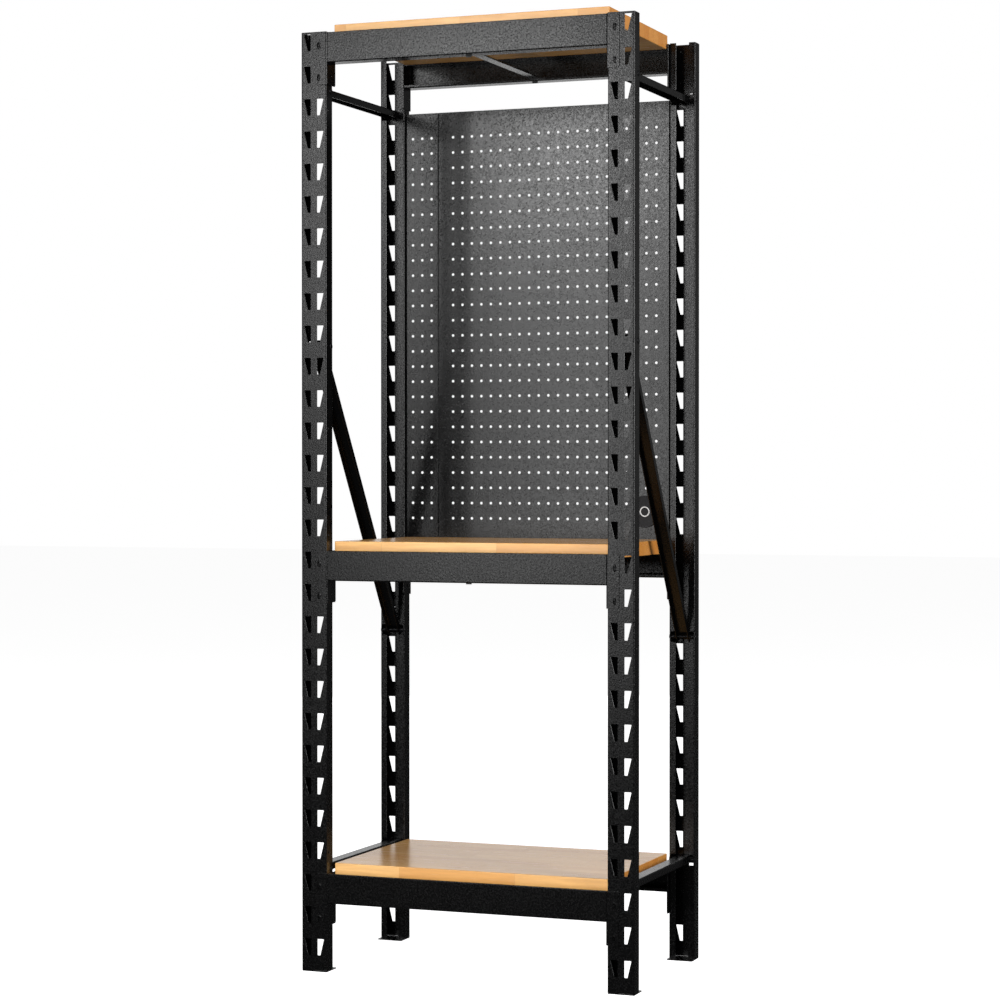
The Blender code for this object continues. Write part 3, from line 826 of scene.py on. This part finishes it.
def make_braces():
    for side_name in SIDES:
        for place in BRACE_PLACES:
            make_brace(f"brace_{place}_{side_name}", middle_of(f"brace_bolt_{place}_front_{side_name}"),
                       middle_of(f"brace_bolt_{place}_rear_{side_name}"))


def dome(start, radius, height):
    """Profile of a low domed head that starts at x = start."""
    steps = 5
    return [(start, 0.4 * radius), (start, radius)] + [
        (start + height * math.sin(t), radius * (0.35 + 0.65 * math.cos(t)))
        for t in (math.pi / 2 * (i + 1) / steps for i in range(steps))]


def hexagon_nut(start, length, radius, bore):
    """A hexagon nut along X from x = start."""
    outline = rounded(circle(0, 0, radius, 6), 0.4 * MM, 2)
    nut = sheet(outline, [circle(0, 0, bore)], length)
    return moved(nut, Matrix.Translation((start + length / 2, 0, 0)) @ ALONG_X)


def half_bolt(reach):
    """One end of a brace bolt from its middle: shank, nut beside the brace, spacer and domed head."""
    nut_start = BRACE_WIDTH / 2 + GAP
    flange = reach - BOLT_HEAD_HEIGHT - GAP
    spacer_start = nut_start + BOLT_NUT_LENGTH
    spacer_end = flange - POST_SHEET - GAP
    soft = SPACER_SOFTENING
    return joined([
        revolved([(0, BOLT_SHANK_RADIUS), (flange + GAP, BOLT_SHANK_RADIUS)]),
        hexagon_nut(nut_start, BOLT_NUT_LENGTH, BOLT_NUT_RADIUS, BOLT_SHANK_RADIUS - GAP),
        revolved([(spacer_start, SPACER_RADIUS - soft), (spacer_start + soft, SPACER_RADIUS),
                  (spacer_end - soft, SPACER_RADIUS), (spacer_end, SPACER_RADIUS - soft)]),
        revolved(dome(flange + GAP, BOLT_HEAD_RADIUS, BOLT_HEAD_HEIGHT)),
    ])


def make_bolts():
    for side_name in SIDES:
        for end_name in ENDS:
            for place in BRACE_PLACES:
                node = f"brace_bolt_{place}_{end_name}_{side_name}"
                low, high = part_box(node)
                half = half_bolt((high.x - low.x) / 2)
                whole = joined([half, moved(half, Matrix.Diagonal((-1, 1, 1, 1)))])
                whole = moved(whole, Matrix.Translation((low + high) / 2))
                finish_piece(node, whole, BOLT_STEEL)


def make_screws():
    for height in ("upper", "lower"):
        for name in ("left", "right", "seam"):
            node = f"panel_screw_{height}_{name}"
            low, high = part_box(node)
            middle, half = (low.x + high.x) / 2, (high.x - low.x) / 2
            reach = half - SCREW_HEAD_HEIGHT
            core = revolved([(-reach, SCREW_SHANK_RADIUS), (reach, SCREW_SHANK_RADIUS)])
            head = revolved(dome(reach, SCREW_END_RADIUS, SCREW_HEAD_HEIGHT))
            nut = hexagon_nut(reach, SCREW_HEAD_HEIGHT, SCREW_END_RADIUS, SCREW_BORE_RADIUS)
            shapes = [core, moved(head, Matrix.Diagonal((-1, 1, 1, 1))), nut]
            if name in SIDES:
                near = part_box("pegboard_right")[1].x + GAP
                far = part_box("post_rear_right")[0].x - GAP
                start, stop = sorted(SIDES[name] * x - middle for x in (near, far))
                shapes.append(revolved([(start, SCREW_COLLAR_RADIUS), (stop, SCREW_COLLAR_RADIUS)]))
            finish_piece(node, moved(joined(shapes), Matrix.Translation((low + high) / 2)),
                         BOLT_STEEL)


def make_tie_bars():
    for level in LEVELS:
        node = f"tie_bar_{level}"
        low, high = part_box(node)
        half = TIE_SHEET / 2
        lip_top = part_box(f"beam_{level}_front")[0].z + BEAM_LIP
        z = lip_top + GAP + half
        angle = Fold([(high.x, z), (low.x + half, z), (low.x + half, high.z)], TIE_BEND)
        bar = rounded(rectangle(0, angle.length, -TIE_ANGLE_END, TIE_ANGLE_END), TIE_CORNER)
        shapes = [moved(sheet(bar, [], TIE_SHEET, angle), Matrix.Diagonal((1, -1, 1, 1)) @ ALONG_Y)]
        tongue = Fold([(TIE_ANGLE_END - TIE_TAB_LAP, z), (high.y - half, z), (high.y - half, low.z)],
                      TIE_BEND)
        strip = rounded(rectangle(0, tongue.length, -TIE_HALF_TAB, TIE_HALF_TAB),
                        [0, TIE_CORNER, TIE_CORNER, 0])
        for end in ENDS.values():
            tab = sheet(strip, [], TIE_TAB_SHEET, tongue)
            shapes.append(moved(tab, corner_of(1, -end) @ ALONG_X))
        finish_piece(node, joined(shapes), FRAME_PAINT)


# ---------------------------------------------------------------- pegboard, badge and boards


def make_pegboard():
    for side_name, (margin, columns) in PEG_COLUMNS.items():
        node = f"pegboard_{side_name}"
        low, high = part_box(node)
        half = PANEL_SHEET / 2
        fold = Fold([(low.x + half, high.y), (low.x + half, low.y + half), (high.x - half, low.y + half),
                     (high.x - half, high.y)], PANEL_BEND)
        middle_u, middle_x = fold.length / 2, (low.x + high.x) / 2
        holes = []
        for row in range(PEG_ROWS):
            z = high.z - PEG_TOP_DROP - row * PEG_UP
            for column in range(columns):
                x = low.x + margin + column * PEG_ACROSS
                holes.append(circle(middle_u + x - middle_x, z, PEG_RADIUS, PEG_SIDES))
        for height in ("upper", "lower"):
            screw = middle_of(f"panel_screw_{height}_seam")
            for u in (high.y - screw.y, fold.length - high.y + screw.y):
                holes.append(circle(u, screw.z, SCREW_HOLE_RADIUS, PEG_SIDES))
        outline = rectangle(0, fold.length, low.z, high.z)
        finish_piece(node, sheet(outline, holes, PANEL_SHEET, fold), PANEL_PAINT)


def make_badge():
    """A plain round badge: a dished black disc with a slim pale ring."""
    low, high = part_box("badge")
    centre = (low + high) / 2
    radius, thick = (high.x - low.x) / 2, high.y - low.y
    turn = Matrix.Rotation(-math.pi / 2, 4, "Z")
    place = Matrix.Translation((centre.x, high.y, centre.z)) @ turn
    ring_out, ring_in = BADGE_RING_OUT * radius, BADGE_RING_IN * radius
    profile = [(0, radius - 0.3 * MM), (0.3 * MM, radius)]
    profile += [(thick - back, radius - inward) for back, inward in BADGE_RIM]
    profile.append((thick - BADGE_DISH, 0.3 * MM))
    disc = moved(revolved(profile, 96), place)
    finish_piece("badge", disc, BADGE_BLACK)
    ring_sheet = sheet(circle(0, 0, ring_out, 72), [circle(0, 0, ring_in, 72)], BADGE_RING_SHEET)
    ring_mesh = bpy.data.meshes.new("badge_ring_mesh")
    ring_place = Matrix.Translation((centre.x, low.y + BADGE_RING_BACK, centre.z)) @ ALONG_Y
    points, faces = moved(ring_sheet, ring_place)
    ring_mesh.from_pydata(points, [], faces)
    ring_mesh.materials.append(BADGE_RING)
    ring = bpy.data.objects.new("badge_ring", ring_mesh)
    bpy.context.scene.collection.objects.link(ring)
    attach(ring, "rack")


def make_boards():
    for level in LEVELS:
        node = f"board_{level}"
        low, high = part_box(node)
        corners = rounded(rectangle(low.x, high.x, low.y, high.y), BOARD_EDGE, BOARD_EDGE_STEPS)
        rings = []
        for step in range(BOARD_EDGE_STEPS + 1):
            t = math.pi / 2 * step / BOARD_EDGE_STEPS
            rings.append((BOARD_EDGE * (1 - math.sin(t)), low.z + BOARD_EDGE * (1 - math.cos(t))))
        rings += [(inset, low.z + high.z - z) for inset, z in reversed(rings)]
        points, faces = [], []
        count = len(corners)
        for inset, z in rings:
            points += [(*point, z) for point in offset_left(corners, min(inset, 0.95 * BOARD_EDGE))]
        for row in range(len(rings) - 1):
            for i in range(count):
                j = (i + 1) % count
                here, above = row * count, (row + 1) * count
                faces.append((here + i, here + j, above + j, above + i))
        last = (len(rings) - 1) * count
        faces.append(tuple(reversed(range(count))))
        faces.append(tuple(last + i for i in range(count)))
        finish_piece(node, (points, faces), WOOD, f"{level}_board")


# ---------------------------------------------------------------- camera, floor and light


CAMERA_PLACE = (2.268, -5.8465, 1.1831)
CAMERA_TURN = (math.radians(90 - 0.636), 0, math.radians(21.268))
CAMERA_LENS = 94.29
FLOOR_HALF = 30
FLOOR_GLOW = 0.94
FILL_STRENGTH = 0.035


def make_camera():
    data = bpy.data.cameras.new("camera")
    data.lens = CAMERA_LENS
    data.sensor_width = 36
    data.clip_end = 200
    camera = bpy.data.objects.new("camera", data)
    camera.location = CAMERA_PLACE
    camera.rotation_euler = CAMERA_TURN
    bpy.context.scene.collection.objects.link(camera)
    bpy.context.scene.camera = camera


def make_floor():
    mesh = bpy.data.meshes.new("floor")
    z = CAD_BOX[0][2]
    mesh.from_pydata([(x, y, z) for x, y in rectangle(-FLOOR_HALF, FLOOR_HALF, -FLOOR_HALF, FLOOR_HALF)],
                     [], [(0, 1, 2, 3)])
    nodes = Nodes("floor")
    tone = nodes.noise(nodes.place(), 0.8, 2.0)
    nodes.set(Base_Color=nodes.mix(tone, (0.78, 0.78, 0.78, 1), (0.82, 0.82, 0.82, 1)), Roughness=0.9)
    nodes.set(Emission_Color=(1, 1, 1, 1), Emission_Strength=FLOOR_GLOW)
    mesh.materials.append(nodes.material)
    floor = bpy.data.objects.new("floor", mesh)
    bpy.context.scene.collection.objects.link(floor)
    floor.visible_glossy = False
    floor.visible_diffuse = False


def soft_light(name, place, target, size, power, mirrored=True):
    """A rectangular soft box that looks at a point. It shows in reflections only if mirrored is set."""
    data = bpy.data.lights.new(name, "AREA")
    data.shape = "RECTANGLE"
    data.size, data.size_y = size
    data.energy = power
    light = bpy.data.objects.new(name, data)
    light.location = place
    aim = Vector(target) - Vector(place)
    light.rotation_euler = aim.to_track_quat("-Z", "Y").to_euler()
    light.visible_camera = False
    light.visible_glossy = mirrored
    bpy.context.scene.collection.objects.link(light)


def make_world():
    """White behind the object, and dimmer fill light from all round."""
    world = bpy.data.worlds.new("studio")
    bpy.context.scene.world = world
    world.use_nodes = True
    tree = world.node_tree
    fill = tree.nodes["Background"]
    fill.inputs["Color"].default_value = (1, 1, 1, 1)
    fill.inputs["Strength"].default_value = FILL_STRENGTH
    seen = tree.nodes.new("ShaderNodeBackground")
    seen.inputs["Color"].default_value = (1, 1, 1, 1)
    seen.inputs["Strength"].default_value = 1.0
    ray = tree.nodes.new("ShaderNodeLightPath")
    either = tree.nodes.new("ShaderNodeMixShader")
    tree.links.new(ray.outputs["Is Camera Ray"], either.inputs[0])
    tree.links.new(fill.outputs[0], either.inputs[1])
    tree.links.new(seen.outputs[0], either.inputs[2])
    tree.links.new(either.outputs[0], tree.nodes["World Output"].inputs["Surface"])


def make_lights():
    soft_light("key", (-1.7, -5.2, 1.88), (0, 0, 1.5), (1.25, 2.8), 46)
    soft_light("key_centre", (-1.8, -5.1, 2.7), (0, 0, 1.5), (0.9, 0.8), 17)
    soft_light("key_left", (-3.0, -5.2, 2.5), (0, 0, 1.5), (0.5, 1.6), 12)
    soft_light("bounce", (0, -2.5, 0.2), (0, 0, 2.2), (3.0, 1.0), 35, mirrored=False)
    soft_light("front_fill", (0.8, -5.4, 2.2), (0, 0, 1.2), (3.0, 3.0), 195, mirrored=False)
    soft_light("side_fill", (5.5, -1.6, 2.2), (0, 0, 1.2), (2.5, 2.5), 250)
    soft_light("overhead", (0.2, -0.4, 5.2), (0, 0, 1.0), (4.0, 4.0), 65)
    soft_light("backdrop", (-3.0, 6.6, 2.0), (0, 0, 1.2), (5.0, 4.0), 55)
    soft_light("backdrop_right", (3.4, 6.2, 2.3), (0, 0, 1.2), (3.0, 3.2), 2.8)


def main():
    make_camera()
    make_floor()
    make_world()
    make_lights()
    make_posts()
    make_foot_plates()
    make_beams()
    make_brackets()
    make_boards()
    make_braces()
    make_bolts()
    make_tie_bars()
    make_pegboard()
    make_screws()
    make_badge()
    bpy.context.scene.view_settings.view_transform = "Standard"


main()
bpy.context.view_layer.update()
